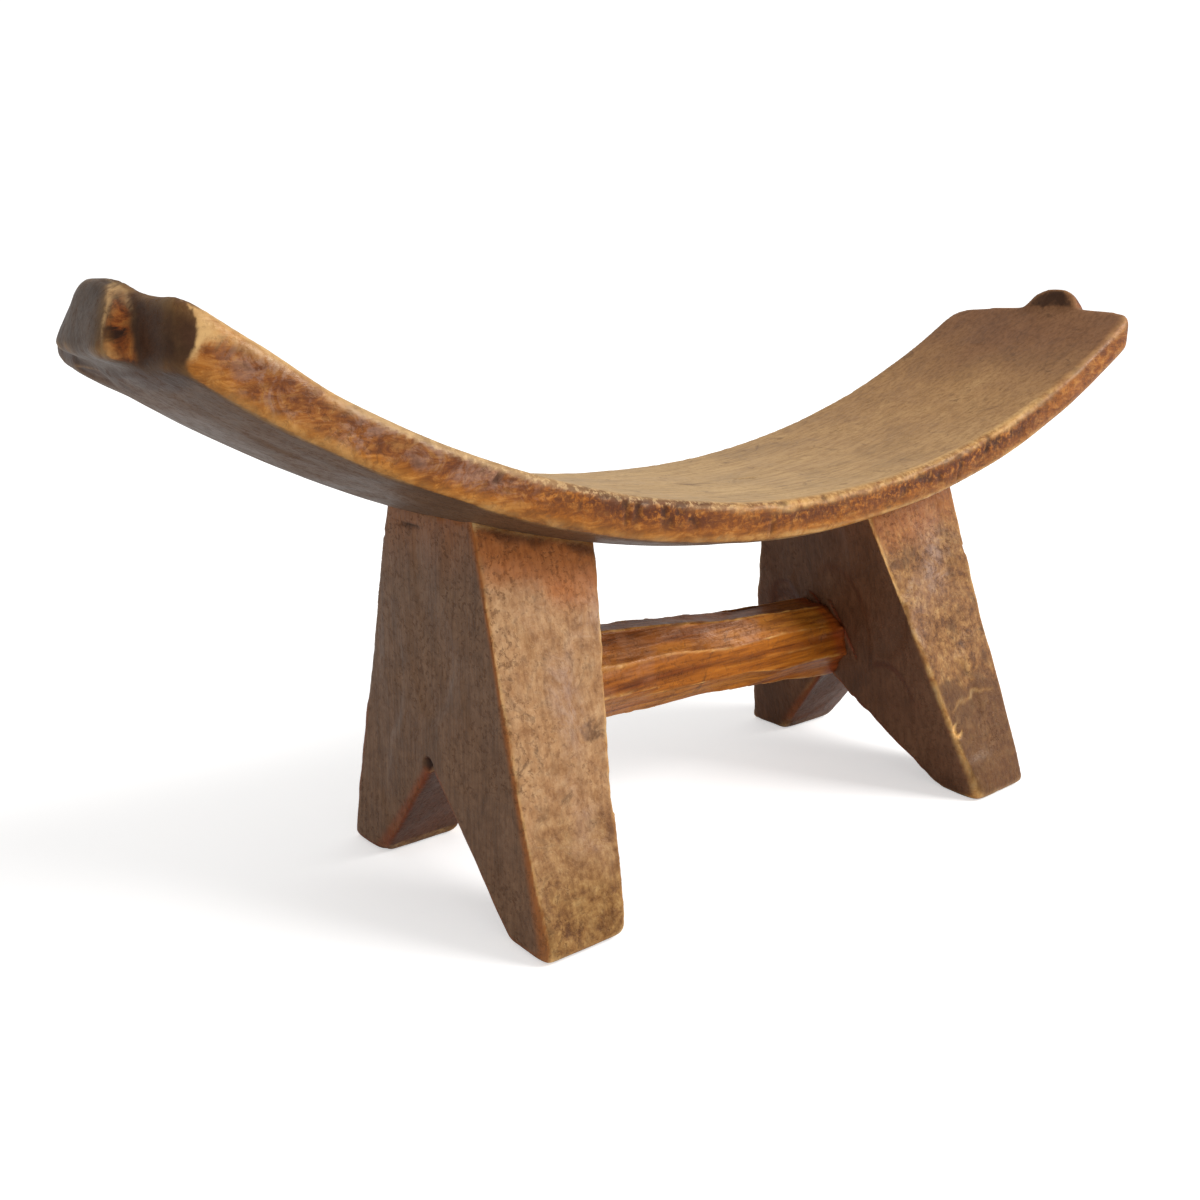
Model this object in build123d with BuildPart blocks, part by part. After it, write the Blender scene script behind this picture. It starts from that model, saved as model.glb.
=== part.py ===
"""Carved wooden headrest: a saddle-shaped rest plate on two forked trestles, tied by a stretcher.

+X runs along the plate to its right end, +Y to the back and +Z up. Sizes are in millimetres.
The object is drawn with the plate's middle over the origin, then moved so that the origin is on
the floor below the middle of the whole object's box. The four members are joined by
mortises and tenons: each tenon and its mortise are the same shape, so the joint closes.
The work is hand-carved, so the two trestles differ by a few millimetres.
"""

import os
from dataclasses import dataclass
from math import cos, radians, sin, sqrt

from build123d import *

# ---- Rest plate: a board bent to a circular saddle, with a rounded belly underneath ----
PLATE_REACH = 199.0  # from the middle to each upper corner, along X
SADDLE_HEIGHT = 120.6  # top surface above the floor, in the middle
SADDLE_RADIUS = 352.0
SADDLE_ROLL = 1.3  # degrees; the top surface falls a little towards the back
EDGE_HEIGHT = 109.7  # lower arris of the long edges above the floor, in the middle
UNDERSIDE_RADIUS = 359.4
BEND_HALF_ANGLE = 38.0  # the plate is made longer than needed and cut to length
ROUGH_THICKNESS = 22.0  # before the saddle is cut
BELLY_DEPTH = 6.5  # how far the underside bulges below its long edges
ROUGH_MARGIN = 1.0  # the bent board is wider than the plate by this much on each side
PLATE_HALF_WIDTH = 48.0  # in the middle; the long edges bow in towards the ends
EDGE_OVERRUN = 40.0  # how far the drawn long edges run on past the ends
FRONT_RUN_LEFT = 43.7  # from the centre line to the front edge where its left run stops
FRONT_RUN_RIGHT = 47.5
BACK_RUN = 38.5
END_HALF_WIDTH = 44.7
END_BOW = 4.0  # how far the middle of an end stands out past its corners
BOW_OVERRUN = 1.2  # the drawn bow is this many times as wide as the end
LEFT_END_SKEW = 3.0  # the left end falls short by this much at its back corner
CORNER_RADIUS = 7.0
PLATE_CANT = 1.0  # degrees; the left end sits a little higher than the right
CANT_HEIGHT = 189.0  # the plate is canted about a line at this height
PLATE_ARRIS = 2.2

# ---- End lugs: blunt knobs carved in one with the plate ----
LUG_ROOT = 196.0  # inside the plate
LUG_TIP = 211.5
LUG_CROWN_SETBACK = 5.5  # the outer face leans back by this much at the top
LUG_HEAD_LENGTH = 3.0  # the ridge on top of a lug, along X
LUG_DOME_RISE = 8.0  # from the shoulders of a lug up to its ridge
LUG_SHOULDER_CORNER = 4.0
LUG_ARRIS = 3.0

# ---- Trestles ----
NECK_HEIGHT = 110.0  # the height at which the neck sizes are measured
ROUGH_TOP = 150.0  # the blank runs up through the plate, which cuts it off at its underside
SIDE_BULGE = 1.2  # how far the outline of a leg bulges past a straight line
FRONT_FOOT_LENGTH = 18.5  # along Y, before its corners are rounded
BACK_FOOT_LENGTH = 18.0
FRONT_TOE_CORNER = 2.5  # the corner of the front foot at the very front, then the one behind it
FRONT_HEEL_CORNER = 7.0
BACK_HEEL_CORNER = 4.0  # the same two corners of the back foot
BACK_TOE_CORNER = 8.0
FORK_CORNER = 3.0
TRESTLE_ARRIS = 1.6

# ---- Stretcher: a hewn eight-sided bar ----
STRETCHER_HALF_WIDTH = 15.0
STRETCHER_HALF_HEIGHT = 16.0
STRETCHER_WAIST = 0.94  # the bar is a little slimmer in the middle
STRETCHER_RIGHT_END = 0.95
STRETCHER_BODY_END = 80.0  # the bar's faces run this far before the trestles cut them off
STRETCHER_SIDES = 8

# ---- Joints ----
PLATE_TENON_LENGTH = 20.0
PLATE_TENON_WIDTH = 30.0
PLATE_TENON_TOP = 124.0
PLATE_TENON_ROOT = 100.0
STRETCHER_TENON_WIDTH = 16.0
STRETCHER_TENON_HEIGHT = 18.0
STRETCHER_TENON_ROOT = 62.0
STRETCHER_TENON_END = 94.0


@dataclass(frozen=True)
class Lug:
    """One end lug. Heights are above the floor and Y distances are from the centre line."""

    side: int  # -1 for the left lug, +1 for the right
    bottom: float
    nape: float  # where the ridge's inner slope meets the root
    top: float
    centre: float
    ridge: float
    base_half_width: float
    shoulder_half_width: float


LEFT_LUG = Lug(
    side=-1,
    bottom=172.0,
    nape=182.5,
    top=191.5,
    centre=-10.5,
    ridge=-14.5,
    base_half_width=20.0,
    shoulder_half_width=17.0,
)
RIGHT_LUG = Lug(
    side=1,
    bottom=166.0,
    nape=175.0,
    top=188.5,
    centre=-7.5,
    ridge=-6.5,
    base_half_width=17.0,
    shoulder_half_width=12.5,
)


@dataclass(frozen=True)
class Trestle:
    """One forked trestle. X distances are from the middle, Y distances from the centre line."""

    side: int  # -1 for the left trestle, +1 for the right
    inner_foot: float
    inner_neck: float
    outer_foot: float
    outer_neck: float
    front_foot: float
    front_neck: float
    back_foot: float
    back_neck: float
    fork_y: float
    fork_height: float
    stretcher_y: float
    stretcher_z: float


LEFT = Trestle(
    side=-1,
    inner_foot=82.3,
    inner_neck=68.2,
    outer_foot=112.0,
    outer_neck=111.5,
    front_foot=58.7,
    front_neck=26.7,
    back_foot=55.0,
    back_neck=26.6,
    fork_y=1.0,
    fork_height=42.0,
    stretcher_y=4.0,
    stretcher_z=60.0,
)
RIGHT = Trestle(
    side=1,
    inner_foot=82.7,
    inner_neck=57.0,
    outer_foot=112.7,
    outer_neck=110.0,
    front_foot=66.5,
    front_neck=27.6,
    back_foot=52.5,
    back_neck=25.0,
    fork_y=4.0,
    fork_height=37.0,
    stretcher_y=5.0,
    stretcher_z=51.5,
)


def arc_height(lowest, radius, x):
    """Height of a circular saddle curve at x, when its lowest point is in the middle."""
    return lowest + radius - sqrt(radius**2 - x**2)


def plate_tenon(trestle, mode):
    """The block on top of a trestle that fits into the plate, or its mortise."""
    with BuildSketch(Plane.XY.offset(PLATE_TENON_ROOT)) as outline:
        middle_of_neck = (trestle.inner_neck + trestle.outer_neck) / 2
        with Locations((trestle.side * middle_of_neck, 0)):
            Rectangle(PLATE_TENON_LENGTH, PLATE_TENON_WIDTH)
    extrude(outline.sketch, amount=PLATE_TENON_TOP - PLATE_TENON_ROOT, mode=mode)


def stretcher_tenon(trestle, mode):
    """The block on the end of the stretcher that fits into a trestle, or its mortise."""
    with BuildSketch(Plane.YZ.offset(trestle.side * STRETCHER_TENON_ROOT)) as outline:
        with Locations((trestle.stretcher_y, trestle.stretcher_z)):
            Rectangle(STRETCHER_TENON_WIDTH, STRETCHER_TENON_HEIGHT)
    length = STRETCHER_TENON_END - STRETCHER_TENON_ROOT
    extrude(outline.sketch, amount=trestle.side * length, mode=mode)


def leg_outline(foot, neck, direction):
    """The outer edge of a trestle from the floor to its top, on the front (-1) or back (+1)."""
    top = foot + (neck - foot) * ROUGH_TOP / NECK_HEIGHT
    middle = (foot + top) / 2 + SIDE_BULGE
    return ThreePointArc(
        (direction * foot, 0), (direction * middle, ROUGH_TOP / 2), (direction * top, ROUGH_TOP)
    )


def stretcher_stations():
    """Centres and relative sizes of the stretcher's sections, from its left end to its right."""
    rise = (RIGHT.stretcher_z - LEFT.stretcher_z) / (2 * STRETCHER_TENON_ROOT)
    drift = (RIGHT.stretcher_y - LEFT.stretcher_y) / (2 * STRETCHER_TENON_ROOT)
    middle_y = (LEFT.stretcher_y + RIGHT.stretcher_y) / 2
    middle_z = (LEFT.stretcher_z + RIGHT.stretcher_z) / 2
    stations = (-STRETCHER_BODY_END, 0, STRETCHER_BODY_END)
    sizes = (1.0, STRETCHER_WAIST, STRETCHER_RIGHT_END)
    for x, size in zip(stations, sizes):
        yield x, middle_y + drift * x, middle_z + rise * x, size


def hewn_outline(size):
    """The corners of the stretcher's eight-sided section, flat on top."""
    step = 360 / STRETCHER_SIDES
    angles = [radians(step * (i + 0.5)) for i in range(STRETCHER_SIDES)]
    half_width = size * STRETCHER_HALF_WIDTH / cos(radians(step / 2))
    half_height = size * STRETCHER_HALF_HEIGHT / cos(radians(step / 2))
    return [(half_width * cos(a), half_height * sin(a)) for a in angles]


def build_lug(lug):
    """A side outline carried across, then rounded to a dome as seen from the end."""
    with BuildPart() as knob:
        with BuildSketch(Plane.XZ.offset(-lug.centre)):
            with BuildLine():
                crown = LUG_TIP - LUG_CROWN_SETBACK
                Polyline(
                    (lug.side * LUG_ROOT, lug.bottom),
                    (lug.side * LUG_TIP, lug.bottom),
                    (lug.side * crown, lug.top),
                    (lug.side * (crown - LUG_HEAD_LENGTH), lug.top),
                    (lug.side * LUG_ROOT, lug.nape),
                    close=True,
                )
            make_face()
        extrude(amount=lug.base_half_width, both=True)
        with BuildSketch(Plane.YZ):
            with BuildLine():
                shoulder = lug.top - LUG_DOME_RISE
                dome = ThreePointArc(
                    (lug.centre - lug.shoulder_half_width, shoulder),
                    (lug.ridge, lug.top),
                    (lug.centre + lug.shoulder_half_width, shoulder),
                )
                Polyline(
                    dome @ 1,
                    (lug.centre + lug.base_half_width, lug.bottom),
                    (lug.centre - lug.base_half_width, lug.bottom),
                    dome @ 0,
                )
            outline = make_face()
            fillet(outline.vertices().sort_by(Axis.Y)[2:], LUG_SHOULDER_CORNER)
        extrude(amount=lug.side * LUG_TIP, mode=Mode.INTERSECT)
        outer_face = knob.faces().sort_by(lambda f: abs(f.center().X))[-1]
        fillet(outer_face.edges(), LUG_ARRIS)
    return knob.part


# ---- The plate without its mortises ----
with BuildPart() as plate_blank:
    # The cross-section is turned about an axis high above the plate, which bends it into a saddle.
    bend_centre = (0, 0, EDGE_HEIGHT + UNDERSIDE_RADIUS)
    section_plane = Plane(
        origin=bend_centre,
        x_dir=(0, 1, 0),
        z_dir=(cos(radians(BEND_HALF_ANGLE)), 0, sin(radians(BEND_HALF_ANGLE))),
    )
    rough_half_width = PLATE_HALF_WIDTH + ROUGH_MARGIN
    rough_top = -UNDERSIDE_RADIUS + ROUGH_THICKNESS
    with BuildSketch(section_plane):
        with BuildLine():
            belly = ThreePointArc(
                (-rough_half_width, -UNDERSIDE_RADIUS),
                (0, -UNDERSIDE_RADIUS - BELLY_DEPTH),
                (rough_half_width, -UNDERSIDE_RADIUS),
            )
            Polyline(
                belly @ 1, (rough_half_width, rough_top), (-rough_half_width, rough_top), belly @ 0
            )
        make_face()
    revolve(axis=Axis(bend_centre, (0, 1, 0)), revolution_arc=2 * BEND_HALF_ANGLE)

    # The saddle is the surface of a large cylinder lying across the plate.
    with BuildSketch(Plane.XZ.rotated((-SADDLE_ROLL, 0, 0))):
        with Locations((0, SADDLE_HEIGHT + SADDLE_RADIUS)):
            Circle(SADDLE_RADIUS)
    extrude(amount=2 * PLATE_HALF_WIDTH, both=True, mode=Mode.SUBTRACT)

    # The long edges bow slightly, widest in the middle.
    with BuildSketch(Plane.XY):
        with BuildLine():
            run = PLATE_REACH + EDGE_OVERRUN
            front_edge = ThreePointArc(
                (-run, -FRONT_RUN_LEFT), (0, -PLATE_HALF_WIDTH), (run, -FRONT_RUN_RIGHT)
            )
            back_edge = ThreePointArc((run, BACK_RUN), (0, PLATE_HALF_WIDTH), (-run, BACK_RUN))
            Line(front_edge @ 1, back_edge @ 0)
            Line(back_edge @ 1, front_edge @ 0)
        make_face()
    extrude(amount=2 * SADDLE_HEIGHT, mode=Mode.INTERSECT)

    # Each end is cut upright and bowed outwards. The bow runs on past the corners.
    past = BOW_OVERRUN * END_HALF_WIDTH
    reach = PLATE_REACH - (BOW_OVERRUN**2 - 1) * END_BOW
    with BuildSketch(Plane.XY):
        with BuildLine():
            right_end = ThreePointArc((reach, -past), (PLATE_REACH + END_BOW, 0), (reach, past))
            left_end = ThreePointArc(
                (LEFT_END_SKEW - reach, past), (-PLATE_REACH - END_BOW, 0), (-reach, -past)
            )
            Line(right_end @ 1, left_end @ 0)
            Line(left_end @ 1, right_end @ 0)
        make_face()
    extrude(amount=2 * SADDLE_HEIGHT, mode=Mode.INTERSECT)

    corners = plate_blank.edges().filter_by(
        lambda e: abs(e.center().X) > 0.9 * PLATE_REACH and e.length < END_HALF_WIDTH
    )
    fillet(corners, CORNER_RADIUS)
    fillet(plate_blank.edges(), PLATE_ARRIS)

    cant_axis = Axis((0, 0, CANT_HEIGHT), (0, 1, 0))
    add(plate_blank.part.rotate(cant_axis, PLATE_CANT), mode=Mode.REPLACE)
    add([build_lug(LEFT_LUG), build_lug(RIGHT_LUG)])


def build_trestle_blank(trestle):
    """A forked trestle cut to the plate's underside, before its joints are made."""
    with BuildPart() as blank:
        with BuildSketch(Plane.YZ):
            with BuildLine():
                front = leg_outline(trestle.front_foot, trestle.front_neck, -1)
                back = leg_outline(trestle.back_foot, trestle.back_neck, 1)
                Line(front @ 1, back @ 1)
                Polyline(
                    back @ 0,
                    (trestle.back_foot - BACK_FOOT_LENGTH, 0),
                    (trestle.fork_y, trestle.fork_height),
                    (FRONT_FOOT_LENGTH - trestle.front_foot, 0),
                    front @ 0,
                )
            outline = make_face()
            foot_corners = outline.vertices().filter_by(lambda v: abs(v.Y) < 0.1).sort_by(Axis.X)
            fork = outline.vertices().filter_by(lambda v: abs(v.Y - trestle.fork_height) < 0.1)
            front_toe, front_heel, back_heel, back_toe = foot_corners
            fillet(front_toe, FRONT_TOE_CORNER)
            fillet(front_heel, FRONT_HEEL_CORNER)
            fillet(back_heel, BACK_HEEL_CORNER)
            fillet(back_toe, BACK_TOE_CORNER)
            fillet(fork, FORK_CORNER)
        extrude(amount=trestle.side * 2 * trestle.outer_foot)
        with BuildSketch(Plane.XZ):
            slope_run = ROUGH_TOP / NECK_HEIGHT
            outer_top = trestle.outer_foot + (trestle.outer_neck - trestle.outer_foot) * slope_run
            inner_top = trestle.inner_foot + (trestle.inner_neck - trestle.inner_foot) * slope_run
            with BuildLine():
                Polyline(
                    (trestle.side * trestle.inner_foot, 0),
                    (trestle.side * trestle.outer_foot, 0),
                    (trestle.side * outer_top, ROUGH_TOP),
                    (trestle.side * inner_top, ROUGH_TOP),
                    close=True,
                )
            make_face()
        extrude(amount=2 * PLATE_HALF_WIDTH, both=True, mode=Mode.INTERSECT)
        fillet(blank.edges().filter_by(lambda e: e.center().Z < ROUGH_TOP - 1), TRESTLE_ARRIS)
        add(plate_blank.part, mode=Mode.SUBTRACT)
        below_plate = blank.solids().sort_by(Axis.Z)[0]
        add(below_plate, mode=Mode.REPLACE)
    return blank.part


left_blank = build_trestle_blank(LEFT)
right_blank = build_trestle_blank(RIGHT)

# ---- Rest plate, with a mortise for each trestle ----
with BuildPart() as rest_plate:
    add(plate_blank.part)
    plate_tenon(LEFT, Mode.SUBTRACT)
    plate_tenon(RIGHT, Mode.SUBTRACT)

# ---- Trestles, each with a tenon for the plate and a mortise for the stretcher ----
with BuildPart() as left_trestle:
    add(left_blank)
    plate_tenon(LEFT, Mode.ADD)
    stretcher_tenon(LEFT, Mode.SUBTRACT)

with BuildPart() as right_trestle:
    add(right_blank)
    plate_tenon(RIGHT, Mode.ADD)
    stretcher_tenon(RIGHT, Mode.SUBTRACT)

# ---- Stretcher, its ends cut to the trestles' inner faces, with a tenon on each end ----
with BuildPart() as stretcher:
    for x, y, z, size in stretcher_stations():
        with BuildSketch(Plane(origin=(x, y, z), x_dir=(0, 1, 0), z_dir=(1, 0, 0))):
            with BuildLine():
                Polyline(hewn_outline(size), close=True)
            make_face()
    loft()
    add([left_blank, right_blank], mode=Mode.SUBTRACT)
    stretcher_tenon(LEFT, Mode.ADD)
    stretcher_tenon(RIGHT, Mode.ADD)

# ---- Place: the origin goes on the floor, below the middle of the whole object's box ----
members = [rest_plate, left_trestle, right_trestle, stretcher]
middle = Compound([member.part for member in members]).bounding_box().center()
for member in members:
    member.part.move(Location((-middle.X, -middle.Y, 0)))

# ---- Names and files ----
os.makedirs("parts", exist_ok=True)
rest_plate.part.label = "rest_plate"
left_trestle.part.label = "left_trestle"
right_trestle.part.label = "right_trestle"
stretcher.part.label = "stretcher"
export_step(rest_plate.part, "parts/rest_plate.step")
export_step(left_trestle.part, "parts/left_trestle.step")
export_step(right_trestle.part, "parts/right_trestle.step")
export_step(stretcher.part, "parts/stretcher.step")
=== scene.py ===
"""Looks of the carved headrest: each CAD member becomes a fine mesh that is carved, worn and polished.

Everything is in metres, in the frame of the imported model: +X to the plate's right end, +Y to the
back, +Z up, with the floor at zero. A mask is a number from 0 to 1 for each point of a piece. The
carving uses masks to choose where it works, and paints them on the mesh for the materials to read.
"""

import itertools
import math

import bpy
import numpy as np
from mathutils import Matrix, Vector


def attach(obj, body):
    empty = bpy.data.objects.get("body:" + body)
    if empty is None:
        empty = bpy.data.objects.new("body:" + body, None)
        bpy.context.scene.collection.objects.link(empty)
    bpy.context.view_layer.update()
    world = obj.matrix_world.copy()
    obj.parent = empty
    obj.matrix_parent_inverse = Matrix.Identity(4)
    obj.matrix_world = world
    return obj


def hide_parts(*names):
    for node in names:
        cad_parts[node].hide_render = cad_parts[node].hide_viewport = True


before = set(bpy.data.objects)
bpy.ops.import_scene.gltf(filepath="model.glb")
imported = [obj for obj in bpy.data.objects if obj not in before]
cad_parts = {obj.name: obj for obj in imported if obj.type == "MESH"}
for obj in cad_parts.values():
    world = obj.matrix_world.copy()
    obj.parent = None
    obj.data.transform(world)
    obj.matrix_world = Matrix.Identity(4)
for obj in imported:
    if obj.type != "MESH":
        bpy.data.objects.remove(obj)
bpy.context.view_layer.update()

MM = 0.001

# ---- Shape of the members, as in the CAD ----
SADDLE_AXIS_HEIGHT = 0.4726  # the centre of the saddle's arc
SADDLE_RADIUS = 0.3520
BAND_DEPTH = 0.0120  # from the saddle down to the lower arris of the long edges
UNDERSIDE_EDGE_HEIGHT = 0.1097
UNDERSIDE_RADIUS = 0.3594
BELLY_DEPTH = 0.0065
PLATE_CANT = math.radians(1.0)
CANT_HEIGHT = 0.189
PLATE_CENTRE_Y = 0.0055
PLATE_HALF_WIDTH = 0.048
EDGE_RUN = 0.239  # the bow of the long edges is measured over this much of X
FRONT_LEAN = 0.0019  # the front edge runs outwards by this much over the right half
FRONT_BOW = 0.0024
BACK_BOW = 0.0095
LUGS = {-1: (-0.0050, 0.020, 0.1660), 1: (-0.0020, 0.017, 0.1600)}  # centre, half width, lower end
NECK_HEIGHT = 0.110
TRESTLES = {-1: (0.0823, 0.0682), 1: (0.0827, 0.0570)}  # inner face, at the foot and at the neck

# ---- Fineness of the carved meshes ----
PLATE_VOXEL = 1.15 * MM
TRESTLE_VOXEL = 0.85 * MM
STRETCHER_VOXEL = 0.75 * MM

# ---- Flats left by a blade ----
FACET_SIZES = (0.6, 1.3)  # least and greatest share of the given reach
FACET_DEPTHS = (0.3, 1.0)  # least and greatest share of the given depth
FACET_LIMIT = 2.5  # no point is cut by more than this many depths
FACET_FACING = 0.75  # only points whose normals agree this well with the flat's are cut

# ---- Single marks of the plate ----
CHECKS = (
    ((0.014, 0.0050, 0.121), (0.023, -0.0005, 0.121), 0.9 * MM),
    ((0.062, 0.0360, 0.126), (0.086, 0.0400, 0.131), 0.8 * MM),
)  # start, end and width
CRACKS = ((-0.118, 3), (-0.072, 5), (-0.012, 7), (0.083, 9), (0.128, 4))  # place along, and number
CRACK_WIDTH = 0.75 * MM
PIT_DEPTH = 0.5 * MM
CRACK_DEPTH = 0.7 * MM

# ---- Single marks of the trestles ----
FOOT_FLARE = 2.5 * MM
RIGHT_WAIST = 1.0 * MM  # the right trestle's front is hollow by this much above its middle
SEAT_PUSH = 1.8 * MM  # how far a shoulder is driven into its neighbour
FORK_EYE = (-0.112, 0.0075, 0.0420)
FORK_EYE_RADIUS = 3.2 * MM
NECK_CRACK = ((-0.112, 0.024, 0.1172), (-0.112, 0.008, 0.1178))
SHORT_CUT = ((0.0665, 0.012, 0.0692), (0.0675, 0.007, 0.0640))
LONG_CUT = ((0.0672, 0.002, 0.0668), (0.0722, -0.0085, 0.0450))
CHIP = (0.0795, -0.0523, 0.0265)
CHIP_RADIUS = 3.4 * MM
CHIP_KERNEL = (0.0804, -0.0523, 0.0272)  # the wood left standing inside the chip
CHIP_KERNEL_RADIUS = 2.3 * MM
FLAKE_HEIGHT = 0.0370  # of the curved line below which a thin flake has come off
FLAKE_CENTRE = 0.096
FLAKE_CURVE = 12.0
FLAKE_LINE_WIDTH = 1.3 * MM
GOLD_PATCH = (0.0800, -0.0490, 0.0400)
GOLD_PATCH_RADIUS = 0.013
# A painted glint: where the stretcher's painted sheen gathers.
STRETCHER_GLINT = (-0.05, -0.012, 0.062)
STRETCHER_GLINT_RADIUS = 0.03

# ---- Finish ----
SHEEN = 0.26  # how strongly the waxed wood mirrors its surroundings
SHEEN_TINT = (1.0, 0.84, 0.68, 1.0)
DARK_GRIME = (70, 40, 20)
DARK_SPECK = (78, 44, 22)
DARK_HOLLOW = (48, 24, 12)
DARK_MARK = (40, 18, 10)

# ---- Camera ----
CAMERA_PLACE = (-0.30288, -0.31775, 0.19373)
CAMERA_YAW = -0.7033
CAMERA_PITCH = 0.2296
CAMERA_ROLL = 0.0097
CAMERA_LENS = 38.096
CAMERA_SENSOR = 36.0
CAMERA_SHIFT = (-0.0315, -0.0282)
CAMERA_NEAREST = 0.01

# ---- Floor, surroundings and light ----
WHITE = (1.0, 1.0, 1.0, 1.0)
FLOOR_COLOUR = (0.82, 0.81, 0.80, 1.0)
FLOOR_REACH = 8.0
FLOOR_LIFT = 0.48  # light that the floor adds for the camera alone
FAR_LIFT = 0.22  # added to the floor's lift far from the object
FAR_FROM = 0.35
FAR_TO = 1.6
SKY_STRENGTH = 0.62
SKY_SEEN_STRENGTH = 1.1
KEY_PLACE = (1.05, -1.15, 1.15)
KEY_AIM = (0.0, 0.0, 0.09)
KEY_SIZE = 0.9
KEY_WATTS = 34.0

# ---- Noise ----
NOISE_TABLE = 4096  # how many random values the lattice draws on
NOISE_ORIGIN = 1000.0  # lattice cells from the object to the lattice's corner, so that none is negative
NOISE_STRIDES = (73856093, 19349663, 83492791)  # large primes that scatter the cells over the table


# ---------------------------------------------------------------- numbers and noise


def smoothstep(low, high, values):
    """0 below low, 1 above high, smooth in between."""
    t = np.clip((values - low) / (high - low), 0.0, 1.0)
    return t * t * (3.0 - 2.0 * t)


def band_between(values, low, high, soft):
    """1 between low and high, with soft ends."""
    return smoothstep(low - soft, low + soft, values) * (1.0 - smoothstep(high - soft, high + soft, values))


def lattice_noise(points, cell, seed):
    """Smooth random values from -1 to 1. cell is one size, or three sizes along X, Y and Z."""
    table = np.random.default_rng(seed).uniform(-1.0, 1.0, NOISE_TABLE)
    scaled = points / np.asarray(cell, float) + NOISE_ORIGIN
    base = np.floor(scaled).astype(np.int64)
    part = scaled - base
    part = part * part * part * (part * (part * 6.0 - 15.0) + 10.0)
    total = np.zeros(len(points))
    for corner in itertools.product((0, 1), repeat=3):
        hashed = 0
        weight = 1.0
        for axis, (step, stride) in enumerate(zip(corner, NOISE_STRIDES)):
            hashed = hashed ^ ((base[:, axis] + step) * stride)
            weight = weight * (part[:, axis] if step else 1.0 - part[:, axis])
        total += weight * table[hashed % NOISE_TABLE]
    return total


def rough_noise(points, cell, seed, octaves=3):
    """Several layers of noise, each half the size and half the strength of the last."""
    cell = np.asarray(cell, float)
    total = np.zeros(len(points))
    for octave in range(octaves):
        total += lattice_noise(points, cell / 2**octave, seed + octave) / 2**octave
    return total / 1.6


def spot(points, centre, radius):
    """1 inside a soft ball, 0 outside it."""
    distance = np.linalg.norm(points - np.asarray(centre), axis=1)
    return 1.0 - smoothstep(0.6 * radius, radius, distance)


def stroke(points, start, end, width):
    """1 along a line between two places, fading out to its width."""
    start, end = np.asarray(start), np.asarray(end)
    run = end - start
    t = np.clip((points - start) @ run / (run @ run), 0.0, 1.0)
    distance = np.linalg.norm(points - start - np.outer(t, run), axis=1)
    taper = 0.35 + 0.65 * np.sin(np.pi * np.clip(t, 0.04, 0.96))
    return 1.0 - smoothstep(0.3, 1.0, distance / (width * taper))


# ---------------------------------------------------------------- carving


class Carving:
    """A piece's vertices as arrays, while it is being carved."""

    def __init__(self, piece):
        self.piece = piece
        mesh = piece.data
        self.points = np.empty(len(mesh.vertices) * 3)
        mesh.vertices.foreach_get("co", self.points)
        self.points = self.points.reshape(-1, 3)
        edges = np.empty(len(mesh.edges) * 2, np.int64)
        mesh.edges.foreach_get("vertices", edges)
        self.edges = edges.reshape(-1, 2)
        self.degree = np.bincount(self.edges.ravel(), minlength=len(self.points))
        self.normals = None
        self.measure()

    def measure(self):
        """Writes the points to the mesh and reads its normals back."""
        mesh = self.piece.data
        mesh.vertices.foreach_set("co", self.points.ravel())
        mesh.update()
        normals = np.empty(len(mesh.vertices) * 3)
        mesh.vertex_normals.foreach_get("vector", normals)
        self.normals = normals.reshape(-1, 3)

    def averaged(self, values, rounds):
        """values with each point's moved halfway to its neighbours' mean, again and again."""
        first, second = self.edges[:, 0], self.edges[:, 1]
        count = len(self.points)
        columns = np.array(values, float)
        for _ in range(rounds):
            for c in range(columns.shape[1]):
                column = columns[:, c]
                total = np.bincount(first, column[second], count)
                total += np.bincount(second, column[first], count)
                columns[:, c] = 0.5 * column + 0.5 * total / self.degree
        return columns

    def soften(self, rounds, share=1.0):
        """Smooths the surface; share is one number, or one for each point."""
        soft = self.averaged(self.points, rounds)
        share = np.asarray(share, float)
        if share.ndim:
            share = share[:, None]
        self.points += (soft - self.points) * share
        self.measure()

    def press(self, depth):
        """Moves each point inwards by its depth."""
        self.points -= self.normals * np.asarray(depth)[:, None]
        self.measure()

    def arris(self, rounds, full):
        """How much the surface stands out (+) or is hollow (-) at each point, from -1 to 1."""
        soft = self.averaged(self.points, rounds)
        stand = np.einsum("ij,ij->i", self.points - soft, self.normals)
        return np.clip(stand / full, -1.0, 1.0)

    def facets(
        self, seed, count, reach, depth, where, stretch=(1, 1, 1), tilt=0.05, solid=0.85, spin=(1, 1, 1)
    ):
        """Shaves shallow flats at random places where the given mask is over a half.

        A flat keeps its full depth out to the solid share of its reach. tilt is how much its
        normal may lean, and spin says along which axes.
        """
        random = np.random.default_rng(seed)
        allowed = np.flatnonzero(where > 0.5)
        stretch = np.asarray(stretch, float)
        for index in random.choice(allowed, count):
            normal = (self.normals[index] + random.normal(0.0, tilt, 3)) * spin
            normal /= np.linalg.norm(normal)
            size = reach * random.uniform(*FACET_SIZES)
            away = self.points - self.points[index]
            distance = np.linalg.norm(away / stretch, axis=1)
            near = distance < size
            near &= self.normals @ normal > FACET_FACING
            height = away @ normal
            cut = np.clip(height + depth * random.uniform(*FACET_DEPTHS), 0.0, FACET_LIMIT * depth)
            fade = 1.0 - smoothstep(solid * size, size, distance)
            self.points -= np.outer(cut * near * fade, normal)
        self.measure()

    def paint(self, **masks):
        """Stores each mask on the mesh under its name, for the material to read."""
        for name, values in masks.items():
            layer = self.piece.data.attributes.new(name, "FLOAT", "POINT")
            layer.data.foreach_set("value", np.clip(values, 0.0, 1.0).astype(np.float32))


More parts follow.
